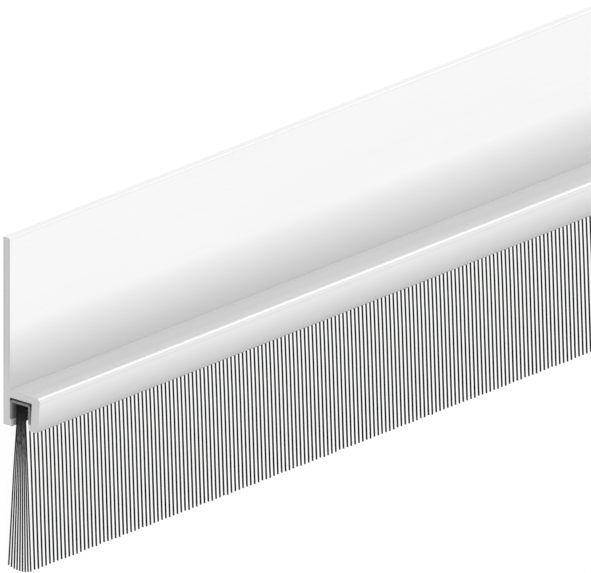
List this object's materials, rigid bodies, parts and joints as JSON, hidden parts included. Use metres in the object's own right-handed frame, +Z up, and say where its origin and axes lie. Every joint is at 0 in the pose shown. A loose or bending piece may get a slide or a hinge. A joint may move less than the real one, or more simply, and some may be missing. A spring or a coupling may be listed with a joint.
{
  "type": "brush seal strip",
  "caption": "Straight brush seal strip: a flat aluminium flange with a pocket along its foot that holds a steel channel of black bristles, for closing the gap under a door.",
  "frame": {"origin": "on the flange's back plane, under the middle of the strip's length and of its width from flange edge to bristle tips", "axes": "+X along the strip, +Y from the bristle tips to the flange's free edge, +Z up from the flange's back face to the pocket's front wall"},
  "size_m": [0.9144, 0.0617, 0.0085],
  "materials": {
    "satin_aluminium": "satin",
    "galvanised_steel": "satin",
    "black_fibre": "matte"
  },
  "bodies": {
    "root": {"carrier_profile": "satin_aluminium", "brush_channel": "galvanised_steel", "core_wire": "galvanised_steel", "bristles": "black_fibre"}
  },
  "joints": []
}
